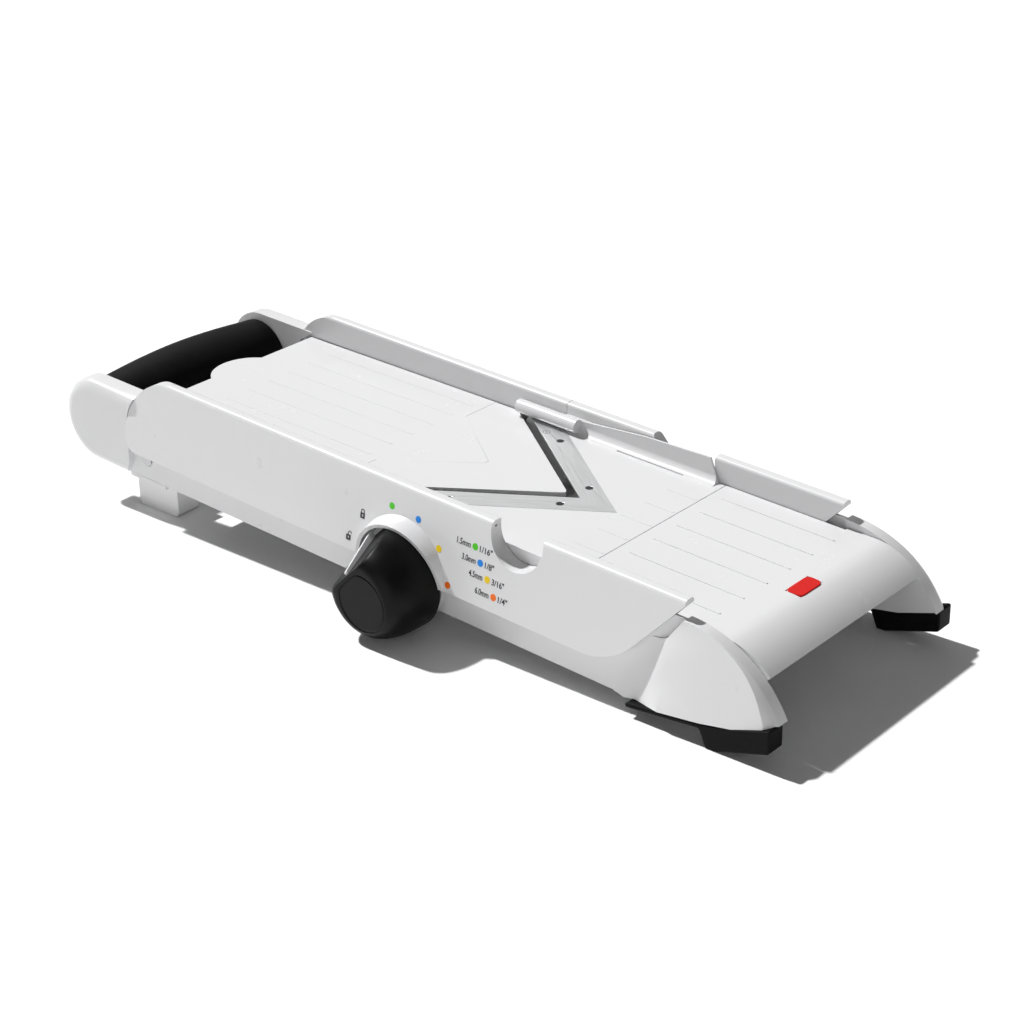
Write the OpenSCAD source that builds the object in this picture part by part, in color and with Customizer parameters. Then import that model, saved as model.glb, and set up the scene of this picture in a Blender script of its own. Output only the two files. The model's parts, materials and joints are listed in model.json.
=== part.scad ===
// Mandoline slicer with a V blade, a dial that sets the slice thickness and a lift-out blade carrier.
// The modules share one working frame: x runs from the rear end of the side rails towards the feet,
// y = 0 is the centre plane with the dial on the -y side, and z = 0 is the cutting deck.
// place() then moves everything so that the origin lies under the middle of the slicer, on the table.

/* [Deck] */
// Clear width between the two side fences
deck_w = 98.6; // [88:0.2:122]
// Length of the side rails
rail_len = 288; // [238:1:350]
// Length of the landing deck between the rails
landing_in = 57.5; // [45:0.5:70]
// Length of the curled lip beyond the rails
lip_len = 36.7; // [32:0.1:44]
// Thickness of the deck plates
plate_t = 2.6; // [2:0.1:3.2]

/* [Side covers] */
// Height of the rails above the deck
rail_h = 11.2; // [9:0.1:14]
// Width of the flat top of a rail
rail_top_w = 5.4; // [5:0.1:8]
// Wall thickness of the side covers
cover_t = 2.2; // [1.8:0.1:2.6]
// Depth of the skirts below the deck
skirt_drop = 25.6; // [22:0.1:30]
// Outward lean of the skirts, mm per mm of height
skirt_lean = 0.182; // [0.12:0.002:0.2]
// Radius of the finger trough in the dial-side rail
trough_r = 13.5; // [11:0.5:15]

/* [Chassis] */
// Depth of the chassis walls below the deck
wall_drop = 40.3; // [38:0.1:44]
// Thickness of the chassis walls
wall_t = 3; // [2.6:0.1:3.4]
// Gap between the dial's rim and the table
dial_gap = 0.3; // [0.2:0.1:1.5]
// Height of the foot pads
pad_h = 9.5; // [8:0.1:11]

/* [Handle] */
// Distance from the rail ends back to the grip axis
grip_back = 54; // [50:0.5:70]
// Radius of the grip in its middle
grip_r = 20; // [17:0.5:21]
// Radius of the grip at its ends
grip_end_r = 17; // [14:0.5:18]
// Radius of the bar inside the grip
core_r = 9; // [7:0.5:11]

/* [Blade] */
// Width of the blade band, measured along the deck
blade_band = 19.5; // [16:0.5:22]
// Thickness of the blade
blade_t = 1.0; // [0.8:0.1:1.4]
// Distance from the blade's outer point to the landing deck
blade_inset = 19.1; // [16:0.1:24]
// Gap between the runway tip and the cutting edge, along the deck
throat = 6.2; // [5.5:0.1:8]
// Half angle of the V
v_angle = 34.7; // [32:0.1:38]
// Radius of the blade rivets
rivet_r = 1.7; // [1.4:0.1:2.2]

/* [Dial] */
// Distance from the dial axis to the landing deck
dial_back = 84.2; // [80:0.1:90]
// Depth of the dial axis below the deck
dial_drop = 28; // [26:0.1:30]
// Radius of the dial at its base
dial_r = 22.4; // [20:0.1:23.5]
// Length of the dial
dial_len = 25.5; // [22:0.5:30]
// Radius of the dial's outer face
dial_face_r = 16; // [14:0.5:18]
// Radius of the cam shaft
shaft_r = 4; // [3.2:0.1:5]
// Running clearance of the shaft and the pivot pins
run_fit = 0.06; // [0.02:0.01:0.1]
// Turn from the lock mark to the thickest slice, degrees
dial_turn = 124.3; // [110:0.1:130]
// Turn from the lock mark back to the unlock mark, degrees
dial_unlock = 26.6; // [20:0.1:30]
// Drop of the runway tip over the dial's turn
tip_drop = 6.3; // [5:0.1:7]

/* [Runway] */
// Radius of the runway pivot pins
pin_r = 3; // [2.4:0.1:3.6]
// Distance from the rail ends back to the pivot
pivot_back = 19.9; // [18:0.1:21]
// Depth of the pivot below the deck
pivot_drop = 30.3; // [27:0.1:33]
// Distance from the rail ends back to the runway's rear edge
runway_back = 17.6; // [15:0.1:18]
// Depth of the runway's rear edge below the deck
runway_low = 2.8; // [1:0.1:4]

/* [Hidden] */
$fn = 64;
e = 0.01;                 // small overlap that keeps cuts clean
slack = 0.3;              // gap between moulded pieces
half = deck_w / 2;

// Side cover section
skin_top_z = rail_h - 2.2;
skin_top_y = half + rail_top_w + 0.3;
function skin_y(z) = skin_top_y + skirt_lean * (skin_top_z - z);

// Chassis walls
wall_out = half + 6.2;                  // outer face, which the covers clear
wall_in = wall_out - wall_t;
wall_top = -8;
leg_in = wall_in - 1.6;
ledge_z = -plate_t - slack;             // top of the ledges under the landing deck
ledge_t = 3.7;
pad_in = wall_in + 1;

// Stations along the deck
seam_x = rail_len - landing_in;
blade_tip = seam_x - blade_inset;
cut_apex = blade_tip - blade_band;
run_tip = cut_apex - throat;
notch_apex = cut_apex + 4;
v_slope = tan(v_angle);
arm_y = half - 2.8;                     // end of the blade arms
rivet_mid = (cut_apex + blade_tip) / 2 + 1;
rivets = [9.4, 35.8];                   // rivet stations across the blade
trough_x = seam_x - 24.8;
trough_z = trough_r - 5.6;
front_x = rail_len + 45.5;              // front end of the feet

// Dial and cams
dial_x = seam_x - dial_back;
dial_z = -dial_drop;
lobe_r = dial_r - 2;
bezel_y = skin_y(-skirt_drop) + 0.8;    // bezel's face at the foot of the skirt
pointer_dir = 136.2;                    // angle of the lock mark around the dial
dial_steps = [26.6, 0, -35.5, -65.1, -94.7, -124.3];  // unlock, lock and four slices
cam_y = 18;
rib_y = 36;
cam_w = 6;
cam_r = 14;
hub_r = shaft_r + 3;
lobe_out = wall_out + 2;
dial_y = lobe_out + 2.5;                // the dial's base stands in a recess of the cover
dial_end = dial_y + dial_len;

// Runway
pivot_x = -pivot_back;
pivot_z = -pivot_drop;
runway_w = deck_w - 1.2;
run_t = 3;
reach = run_tip - pivot_x;
cam_lift = tip_drop * (dial_x - pivot_x) / reach;
rise = atan(runway_low / (run_tip + runway_back));
insert_t = 1.6;
insert_x = run_tip - 44.7;              // inner point of the insert
insert_rear = run_tip - 83.5;
insert_half = 28.5;

// Rest and overall size
rest_x0 = -35;
rest_x1 = -7.5;
pad_x = rail_len + 17;
pad_z = -32.8 - pad_h;
dial_low = dial_z - dial_r - dial_gap;
// The table line touches the foot pads and passes just under the dial
slope = (pad_z - dial_low) / (pad_x - dial_x);
tilt = atan(slope);
function ground(x) = pad_z + slope * (x - pad_x);
arm_r = grip_r + 0.3;                   // radius of the arm's nose
function placed_x(x, z) = x * cos(tilt) + z * sin(tilt);
lift = pad_x * sin(tilt) - pad_z * cos(tilt);
tail_x = placed_x(-grip_back, -arm_r) - arm_r;
mid_x = (tail_x + placed_x(front_x + 0.2, -23.8)) / 2;
mid_y = (skin_y(-34) - dial_end) / 2;

// Stands the slicer on its pads and rests, with the origin under the middle of it
module place() translate([-mid_x, -mid_y, lift]) rotate([0, tilt, 0]) children();

// Points of an arc around c with radius r from angle a0 to a1
function arc(c, r, a0, a1, n = 10) =
    [for (i = [0:n]) let (a = a0 + (a1 - a0) * i / n) c + r * [cos(a), sin(a)]];
function flip(points) = [for (p = points) [p[0], -p[1]]];

// Extrudes an outline drawn in x and z across the slicer, from y0 to y1
module across(y0, y1) translate([0, y1, 0]) rotate([90, 0, 0]) linear_extrude(y1 - y0) children();
// Extrudes an outline drawn in y and z along the slicer, from x0 to x1
module along(x0, x1) translate([x0, 0, 0]) rotate([90, 0, 90]) linear_extrude(x1 - x0) children();
// Round bar across the slicer, centred on [x, z]
module bar(c, r, y0, y1) translate([c[0], y1, c[1]]) rotate([90, 0, 0]) cylinder(r = r, h = y1 - y0);
// Makes the same piece on the far and the dial side
module both_sides() {
    children();
    mirror([0, 1, 0]) children();
}

// ---- Side covers ----
// Outer outline of a cover's cross section, for the far side
function cover_outer(z0) = concat(
    [[skin_y(z0), z0], [skin_top_y, skin_top_z]],
    arc([skin_top_y - 2.3, skin_top_z - 0.1], 2.3, 5, 90, 6),
    arc([half + 1.6, rail_h - 1.6], 1.6, 90, 180, 5),
    [[half, z0]]);
function cover_inner(z0) = [
    [skin_y(z0) - cover_t, z0], [skin_top_y - cover_t, skin_top_z], [skin_top_y - cover_t - 0.8, rail_h - cover_t],
    [half + cover_t, rail_h - cover_t], [half + cover_t, z0]];
// Side view of a cover: rounded rear end, swept-up front end
module cover_side(inset, front) {
    r = 27.8 - inset;
    polygon(concat(
        arc([-1, rail_h - 27.8], r, 90, 180, 16),
        arc([-28.8 + 7 + inset, -skirt_drop + 7], 7, 180, 270, 6),
        arc([rail_len - 45, -skirt_drop + 32], 32, -90, -41.3, 10),
        [[rail_len + front, skin_top_z], [rail_len + front, rail_h - inset]]));
}
module cover_shell() difference() {
    intersection() {
        along(-30, rail_len) polygon(cover_outer(-skirt_drop - 1));
        across(half - 1, half + 20) cover_side(0, 0);
    }
    intersection() {
        along(-30, rail_len + 1) polygon(cover_inner(-skirt_drop - 2));
        across(half - 1, half + 20) union() {
            cover_side(cover_t, 1);
            translate([-40, -skirt_drop - 3]) square([rail_len + 60, 8]);
            translate([rail_len - 60, -skirt_drop]) square([70, skirt_drop + rail_h - cover_t]);
        }
    }
    // the closed rear end leaves room for the chassis wall
    translate([-40, wall_in - slack, -60]) cube([24, wall_t + 2 * slack, 60 + wall_top + slack]);
    // the inner fence stops just below the deck
    translate([-40, half - 1, -60]) cube([rail_len + 60, cover_t + 1.2, 57.8]);
}

// Bosses that stand off the chassis wall and take the cover screws
module cover_bosses() intersection() {
    for (x = cover_screw_x) bar([x, -16], 3.4, wall_out, half + 20);
    along(-20, rail_len) polygon(cover_outer(-skirt_drop));
}
module dial_side_cover() color("white") mirror([0, 1, 0]) difference() {
    union() {
        cover_bosses();
        difference() {
            cover_shell();
            bar([trough_x, trough_z], trough_r, half - 2, half + 20);
        }
        intersection() {
            difference() {
                bar([trough_x, trough_z], trough_r + cover_t, half, half + 20);
                bar([trough_x, trough_z], trough_r, half - 2, half + 20);
                translate([trough_x - 30, half - 2, trough_z]) cube([60, 30, 40]);
            }
            along(trough_x - 30, trough_x + 30) polygon(cover_outer(-skirt_drop));
        }
    }
    bar([dial_x, dial_z], dial_r + slack, wall_out, half + 20);
    cover_screw_holes();
}

handle_x0 = seam_x - 87.5;              // rear end of the carrier's own stretch of rail
handle_x1 = seam_x - 28.5;
gap_x1 = seam_x - 6.5;                  // front end of the opening in the far rail
module far_side_cover() color("white") difference() {
    union() {
        cover_shell();
        cover_bosses();
    }
    translate([handle_x0, half - 2, -4]) cube([gap_x1 - handle_x0, 20, 30]);
    bar([dial_x, dial_z], 13 + slack, half, half + 20);
    cover_screw_holes();
}
cover_screw_x = [12, 100, rail_len - 60];
module cover_screw_holes() for (x = cover_screw_x)
    bar([x, -16], 1.2, wall_out - 1, skin_y(-16) - 1);

// ---- Chassis ----
module wall_side() {
    polygon([[-33, -wall_drop], [rail_len - 26, -wall_drop], [rail_len - 8, -30], [rail_len + 4, wall_top],
        [-22, wall_top], [-33, -16]]);
    translate([dial_x, dial_z]) circle(lobe_r);
}
// Raised bearing housing around the shaft
module lobe() difference() {
    bar([dial_x, dial_z], lobe_r, wall_in, lobe_out);
    translate([dial_x - 40, wall_in - 1, -skirt_drop - 1.2]) cube([80, 20, 60]);
}
function leg_top() = arc([rail_len + 0.5, -47.5], 51, 90, 28, 16);
module leg_side() polygon(concat(
    leg_top(),
    [[front_x, -23.6], [rail_len + 44.5, -23.3], [rail_len + 28, -29.5], [rail_len + 13.7, -32.6],
     [rail_len - 19, -37.6], [rail_len - 26, -wall_drop], [rail_len - 32, -wall_drop], [rail_len - 32, -12],
     [rail_len - 10, -8], [rail_len - 6, -6]]));
// The leg swells out of the wall along a slanted crease
module leg_blend() translate([rail_len - 26, 0, -wall_drop]) rotate([0, 31.2, 0]) translate([0, 0, -40])
    linear_extrude(140) polygon(concat([[-60, leg_in - 1], [-60, wall_out]],
        [for (i = [0:18]) let (t = i / 18) [-9 + 34 * t, wall_out + 9.5 * t * t * (3 - 2 * t)]],
        [[90, wall_out + 9.5], [90, leg_in - 1]]));
// Rounds the leg's outer edge off around its top arc
module leg_round() translate([rail_len + 0.5, 0, -47.5]) rotate([-90, 0, 0]) rotate_extrude() polygon(concat(
    [[0, leg_in - 1], [51.1, leg_in - 1]],
    [for (i = [0:18]) let (u = cos(i * 5)) [51.1 * u, wall_out - 0.6 + 14.6 * sqrt(1 - pow(u, 2.2))]]));
module leg() intersection() {
    across(leg_in, half + 30) leg_side();
    leg_blend();
    leg_round();
    along(rail_len - 40, front_x + 1) polygon([[leg_in, -60], [leg_in, 10], [skin_y(3) - 0.2, 10],
        [skin_y(3) - 0.2, 3], [skin_y(-34), -34], [skin_y(-60), -60]]);
    // clear of the cover where the rail ends
    difference() {
        translate([rail_len - 40, 0, -60]) cube([90, 100, 80]);
        translate([rail_len - 60, half - 1, -6]) cube([60.5, wall_out - half + 1, 40]);
        intersection() {
            across(half - 1, half + 30) offset_side();
            along(rail_len - 60, rail_len + 0.5) polygon([[wall_out, -60], [wall_out, 20], [half + 30, 20], [half + 30, -60]]);
        }
    }
}
// Side view of the cover with a little room around its swept-up end
module offset_side() polygon(concat(
    [[rail_len - 80, 20], [rail_len - 80, -skirt_drop - 0.6]],
    arc([rail_len - 44.6, -skirt_drop + 32], 32.6, -90, -41.3, 10),
    [[rail_len + 0.5, 8], [rail_len + 0.5, 20]]));
arm_out = wall_out + 3;
module arm_nose() translate([-grip_back, 0, -arm_r]) rotate([-90, 0, 0]) rotate_extrude() polygon([
    [0, half - 0.8], [arm_r, half - 0.8], [arm_r, arm_out - 3.6], [arm_r - 0.5, arm_out - 2],
    [arm_r - 1.5, arm_out - 0.8], [arm_r - 3.2, arm_out - 0.1], [arm_r - 5, arm_out], [0, arm_out]]);
module arm_side() polygon([[-grip_back, 0], [-grip_back, -wall_drop], [-33, -wall_drop], [-29.6, -34],
    [-29.6, -16], [-26, -6], [-18, -0.8], [-18, 0]]);
module arm_section() polygon([[half - 0.8, -2 * arm_r], [half - 0.8, 0], [arm_out - 3.6, 0], [arm_out - 2, -0.5],
    [arm_out - 0.8, -1.5], [arm_out - 0.1, -3.2], [arm_out, -5], [arm_out, 5 - 2 * arm_r],
    [arm_out - 0.1, 3.2 - 2 * arm_r], [arm_out - 0.8, 1.5 - 2 * arm_r], [arm_out - 2, 0.5 - 2 * arm_r],
    [arm_out - 3.6, -2 * arm_r]]);
module arm() difference() {
    union() {
        arm_nose();
        intersection() {
            across(half - 0.8, arm_out) arm_side();
            along(-grip_back, 0) arm_section();
        }
    }
    // room for the rear end of the side cover
    across(half - 0.1, wall_out + 8) polygon(concat([[10, 12], [10, -40], [-29.2, -32]],
        [for (p = arc([-1, rail_h - 27.8], 28.2, 180, 108, 10)) p]));
    bar([-grip_back, -arm_r], core_r + 0.05, half - 2, half + 2.4);
}
// One side of the chassis: wall, bearing housing, leg, handle arm and the ledges for the deck
module side_frame() color("white") difference() {
    union() {
        difference() {
            across(wall_in, wall_out) wall_side();
            translate([-40, wall_in - 1, wall_top]) cube([rail_len + 90, 9, 40]);
        }
        lobe();
        leg();
        // tongue that stands inside the cover's front end and closes it
        along(rail_len - 24, rail_len + 2) polygon([[wall_in, -12], [wall_in, 3], [skin_y(3) - cover_t - slack, 3],
            [min(wall_out, skin_y(wall_top) - cover_t - slack), wall_top], [wall_out, -12]]);
        arm();
        // strip that ties the arm to the wall
        translate([-33.5, half - 0.8, -wall_drop]) cube([6, wall_out - half + 0.8, 24]);
        // ledge that carries the blade carrier
        translate([run_tip - 40, half - 4, -8.6]) cube([seam_x - run_tip + 40, 8, 2.8]);
        // ledge that carries the landing deck
        translate([seam_x + 0.6, half - 4, ledge_z - ledge_t]) cube([rail_len - seam_x - 2, 8, ledge_t]);
    }
    bar([trough_x, trough_z], trough_r + cover_t + slack, half - 0.2, half + 12);
    bar([dial_x, dial_z], hub_r, wall_in - 2, lobe_out + 1);
    bar([pivot_x, pivot_z], pin_r, wall_in - 4, wall_out + 2);
    for (x = cover_screw_x) bar([x, -16], 1.7, wall_in - 1, wall_out + 1);
    for (x = [seam_x + 12, rail_len - 8]) translate([x, half - 1.8, -10]) cylinder(r = 1.7, h = 8);
}
module far_frame() side_frame();
module near_frame() mirror([0, 1, 0]) side_frame();

module rear_crossbar() color("white") difference() {
    union() {
        translate([4, -wall_in, -wall_drop]) cube([2.6, 2 * wall_in, 24]);
        for (s = [-1, 1]) translate([4, s * (wall_in - 1.5) - 1.5, -wall_drop]) cube([14, 3, 20]);
    }
    translate([0, -18, -wall_drop - 1]) cube([20, 36, 7]);
}
module front_crossbar() color("white") translate([rail_len - 12, -leg_in, ledge_z - ledge_t - 3]) difference() {
    cube([8, 2 * leg_in, 2.9]);
    for (s = [-1, 1]) translate([4, leg_in + s * (half - 1.8), -1]) cylinder(r = 1.7, h = 8);
}

// ---- Landing deck ----
lip_r = 30;
lip_c = [rail_len + 15, -lip_r];
module landing_deck() color("white") difference() {
    union() {
        across(-half + 0.4, half - 0.4) polygon(concat(
            [[seam_x + 0.15, -plate_t], [seam_x + 0.15, 0]],
            arc(lip_c, lip_r, 90, 43.7, 14),
            arc(lip_c, lip_r - plate_t, 43.7, 90, 14)));
        // the lip widens where the rails have ended
        across(-leg_in + 0.3, leg_in - 0.3) polygon(concat(
            [[rail_len + 2, -plate_t], [rail_len + 2, 0]],
            arc(lip_c, lip_r, 90, 43.7, 14),
            arc(lip_c, lip_r - plate_t, 43.7, 90, 14)));
        for (y = [-38:15.2:38]) translate([seam_x + 6, y - 0.4, -e]) cube([rail_len - seam_x - 2, 0.8, 0.25]);
    }
    for (x = [seam_x + 12, rail_len - 8]) for (s = [-1, 1])
        translate([x, s * (half - 1.8), -plate_t - 1]) cylinder(r = 1.1, h = plate_t);
    translate([rail_len + 15.9, 0, -0.55]) rotate([0, 2, 0]) linear_extrude(3) badge_outline(0.1);
}
module badge_outline(gap) {
    square([7.4 + 2 * gap, 15 + 2 * gap], center = true);
}
module deck_badge() color("red") translate([rail_len + 15.9, 0, -0.5]) rotate([0, 2, 0])
    linear_extrude(0.75) badge_outline(0);

// ---- Handle ----
module handle_core() color("dimgray") bar([-grip_back, -arm_r], core_r, -half - 2.2, half + 2.2);
grip_half = half - 1;
module handle_grip() color("black") difference() {
    translate([-grip_back, 0, -arm_r]) rotate([90, 0, 0]) rotate_extrude() polygon(concat(
        [[core_r + 0.02, -grip_half], [grip_end_r, -grip_half]],
        [for (i = [1:15]) let (t = -1 + i / 8) [grip_end_r + (grip_r - grip_end_r) * cos(90 * t), grip_half * t]],
        [[grip_end_r, grip_half], [core_r + 0.02, grip_half]]));
}

// ---- Feet and rests ----
module foot_pad() color("black") across(pad_in, skin_y(-34) - 0.4) polygon([
    [rail_len - 21.6, -39], [rail_len - 19, -37.9], [rail_len + 13.7, -32.8], [rail_len + 28, -29.7],
    [rail_len + 44.5, -23.5], [front_x, -23.8], [front_x + 0.2, -23.8 - pad_h + 0.3], [pad_x + 4, ground(pad_x + 4)],
    [pad_x, pad_z], [rail_len + 13.7, -34.9], [rail_len - 19, -39.9], [rail_len - 21, -40.2]]);
module far_foot_pad() foot_pad();
module near_foot_pad() mirror([0, 1, 0]) foot_pad();
module rear_rest() color("white") {
    across(wall_in - 15, wall_in - 2.5) polygon(concat(
        [[rest_x0, -wall_drop - 0.1]],
        [for (t = [0:5]) let (a = 180 + t * 18) [rest_x0 + 3 + 3 * cos(a), ground(rest_x0) + 3 + 3 * sin(a)]],
        [[rest_x0 + 3.2, ground(rest_x0 + 3.2)], [rest_x1 - 3.2, ground(rest_x1 - 3.2)]],
        [for (t = [1:5]) let (a = 270 + t * 18) [rest_x1 - 3 + 3 * cos(a), ground(rest_x1) + 3 + 3 * sin(a)]],
        [[rest_x1, -wall_drop - 0.1]]));
    // tongue that sits under the chassis wall
    across(wall_in - 3, wall_out) translate([rest_x0 + 2, -wall_drop - 2.1]) square([rest_x1 - rest_x0 - 3, 2]);
}
module far_rear_rest() rear_rest();
module near_rear_rest() mirror([0, 1, 0]) rear_rest();

// ---- Dial housing, bushes and detent ----
module dial_bezel() color("white") mirror([0, 1, 0]) difference() {
    intersection() {
        translate([dial_x, wall_out, dial_z]) rotate([-90, 0, 0])
            cylinder(r1 = dial_r + 4.2, r2 = dial_r + 1.4, h = bezel_y + 4 - wall_out);
        // the face leans outwards towards the top, and the ring ends at the foot of the skirt
        along(dial_x - 60, dial_x + 60) polygon([[half, -skirt_drop + 0.2], [bezel_y, -skirt_drop + 0.2],
            [bezel_y + bezel_lean * (skirt_drop + 10), 10], [half, 10]]);
    }
    // lies on the slanted skirt of the side cover
    along(dial_x - 60, dial_x + 60) polygon([[half - 1, -skirt_drop - 2], [half - 1, 20],
        [skin_y(20) + 0.05, 20], [skin_y(-skirt_drop - 2) + 0.05, -skirt_drop - 2]]);
    bar([dial_x, dial_z], dial_r + slack, half, half + 30);
}
bezel_lean = 0.12;
module bush(y0, y1) difference() {
    bar([dial_x, dial_z], hub_r, y0, y1);
    bar([dial_x, dial_z], shaft_r + run_fit, y0 - 1, y1 + 1);
}
module far_shaft_bush() color("gainsboro") bush(wall_in - 0.8, lobe_out);
module near_shaft_bush() color("gainsboro") mirror([0, 1, 0]) bush(wall_in - 0.8, lobe_out);
module far_hub_cap() color("white") difference() {
    bar([dial_x, dial_z], 13, lobe_out, lobe_out + 3.4);
    bar([dial_x, dial_z], shaft_r + 2.6, lobe_out - 1, lobe_out + 2);
}
wheel_r = 12;
notch_r = 2.2;
wheel_y = wall_in - 6;
module detent_spring() color("silver") mirror([0, 1, 0]) {
    across(wheel_y, wheel_y + 4) {
        translate([dial_x - 18, dial_z - wheel_r - 2.6]) square([36, 0.6]);
        intersection() {
            translate([dial_x, dial_z - wheel_r - 2.1]) circle(notch_r - 0.15);
            translate([dial_x - 5, dial_z - wheel_r - 2.1]) square([10, 5]);
        }
    }
    for (s = [-1, 1]) translate([dial_x + s * 16 - 3, wheel_y, dial_z - wheel_r - 2.6]) cube([6, wall_in - wheel_y, 0.6]);
    for (s = [-1, 1]) translate([dial_x + s * 16 - 3, wall_in - 0.6, dial_z - wheel_r - 2.6]) difference() {
        cube([6, 0.6, 8]);
        translate([3, -1, 4.6]) rotate([-90, 0, 0]) cylinder(r = 1.3, h = 4);
    }
}
module detent_screws() color("silver") mirror([0, 1, 0]) for (s = [-1, 1])
    bar([dial_x + s * 16, dial_z - wheel_r + 2], 2.4, wall_in - 2.4, wall_in - 0.62);
module pivot_pins() color("silver") both_sides() bar([pivot_x, pivot_z], pin_r, wall_in - 8.2, wall_out + 0.5);
module cover_screws() color("silver") both_sides() for (x = cover_screw_x) {
    bar([x, -16], 1.18, wall_in - 0.5, skin_y(-16) - 1.2);
    bar([x, -16], 2.8, wall_in - 1.9, wall_in - 0.02);
}
module deck_screws() color("silver") for (s = [-1, 1]) {
    for (x = [seam_x + 12, rail_len - 8]) translate([x, s * (half - 1.8), 0]) {
        low = x > rail_len - 20 ? ledge_z - ledge_t - 3 : ledge_z - ledge_t;
        translate([0, 0, low - 1.6]) cylinder(r = 2.8, h = 1.58);
        translate([0, 0, low - 0.1]) cylinder(r = 1.08, h = -low - 1.2);
    }
}

// ---- Turning parts ----
// Flat facet on the dial's lock-mark side, which leads up to the pointer
facet_base = dial_r - 2.4;
facet_face = dial_face_r - 6;
module facet() translate([dial_x, 0, dial_z]) rotate([0, -pointer_dir, 0]) translate([0, 0, -40]) linear_extrude(80)
    polygon([[facet_base, -dial_y + 0.5], [facet_face, -dial_end - 0.5], [60, -dial_end - 0.5], [60, -dial_y + 0.5]]);
// Radius of the dial at a share t of its length: a dome that rounds over into the outer face
function dome(t) = dial_face_r - 2.4 + (dial_r - dial_face_r + 2.4) * sqrt(1 - pow(t, 3.2));
module dial_solid() translate([dial_x, -dial_y, dial_z]) rotate([90, 0, 0]) rotate_extrude() polygon(concat(
    [[0, 0], [dial_r - 1, 0]],
    [for (i = [1:12]) let (t = sin(i * 7.5)) [dome(t), dial_len * t]],
    [[0, dial_len]]));
face_c = [1.9, -1.8];                   // centre of the inlay, off the dial axis
module face_outline(r) intersection() {
    translate(face_c) circle(r);
    rotate(pointer_dir) translate([-60 + facet_face - 1.6 + (r - 12.6), -30]) square([60, 60]);
}
module dial_body() color("black") difference() {
    dial_solid();
    facet();
    translate([dial_x, -dial_end + 1.2, dial_z]) rotate([90, 0, 0]) linear_extrude(3) face_outline(12.9);
    bar([dial_x, dial_z], shaft_r, -dial_end + 7, -dial_y + 1);
    bar([dial_x, dial_z], 1.8, -dial_end - 1, -dial_y);
    bar([dial_x, dial_z], 3.6, -dial_end - 1, -dial_end + 3.4);
    pointer_block(0.05);
}
module dial_face() color("#222222") translate([dial_x, -dial_end + 1.18, dial_z]) rotate([90, 0, 0])
    linear_extrude(1.1) face_outline(12.6);
// White fin that runs along the facet, from the base to the outer face
module pointer_block(gap) translate([dial_x, 0, dial_z]) rotate([0, -pointer_dir, 0]) translate([0, 0, -1.15 - gap])
    linear_extrude(2.3 + 2 * gap) polygon([[facet_base - 3 - gap, -dial_y - 1.2 + gap], [facet_base + 1.6, -dial_y - 1.2 + gap],
        [facet_base + 1.9, -dial_y - 2.6], [facet_face + 2, -dial_end + 1.6], [facet_face - 3 - gap, -dial_end + 3.5 - gap]]);
module dial_pointer() color("white") pointer_block(0);
module dial_screw() color("silver") {
    bar([dial_x, dial_z], 1.7, -dial_end + 3, -dial_end + 15);
    bar([dial_x, dial_z], 3.4, -dial_end + 1.4, -dial_end + 3.38);
}
module cam_shaft() color("silver") difference() {
    bar([dial_x, dial_z], shaft_r, -dial_end + 7.05, lobe_out + 1.9);
    bar([dial_x, dial_z], 1.72, -dial_end + 6, -dial_end + 16);
    difference() {
        bar([dial_x, dial_z], shaft_r + 1, lobe_out + 0.6, lobe_out + 1.2);
        bar([dial_x, dial_z], shaft_r - 0.8, lobe_out + 0.5, lobe_out + 1.3);
    }
}
// Radius of a cam at angle a: it falls steadily as the dial turns towards thicker slices
function cam_radius(a) = a <= 90 + dial_turn
    ? cam_r - cam_lift * (a - 90) / dial_turn
    : cam_r - cam_lift + cam_lift * (1 + dial_unlock / dial_turn) * (a - 90 - dial_turn) / (360 - dial_turn - dial_unlock);
module cam(y0) difference() {
    across(y0, y0 + cam_w) union() {
        translate([dial_x, dial_z]) polygon([for (i = [0:59]) let (a = 90 - dial_unlock + i * 6)
            cam_radius(a) * [cos(a), sin(a)]]);
        translate([dial_x, dial_z]) circle(shaft_r + 2.4);
    }
    bar([dial_x, dial_z], shaft_r + 0.005, y0 - 1, y0 + cam_w + 1);
}
module far_cam() color("gainsboro") cam(cam_y - cam_w / 2);
module near_cam() color("gainsboro") cam(-cam_y - cam_w / 2);
module detent_wheel() color("gainsboro") difference() {
    bar([dial_x, dial_z], wheel_r, -wheel_y - 4, -wheel_y);
    bar([dial_x, dial_z], shaft_r + 0.005, -wheel_y - 5, -wheel_y + 1);
    for (s = dial_steps) translate([dial_x, 0, dial_z]) rotate([0, s, 0])
        bar([0, -wheel_r - 2.1], notch_r, -wheel_y - 5, -wheel_y + 1);
}
module shaft_clip() color("silver") difference() {
    bar([dial_x, dial_z], shaft_r + 1.8, lobe_out + 0.62, lobe_out + 1.18);
    bar([dial_x, dial_z], shaft_r - 0.78, lobe_out, lobe_out + 3);
    translate([dial_x - 2.2, lobe_out, dial_z - 8]) cube([4.4, 4, 8]);
}

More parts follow.
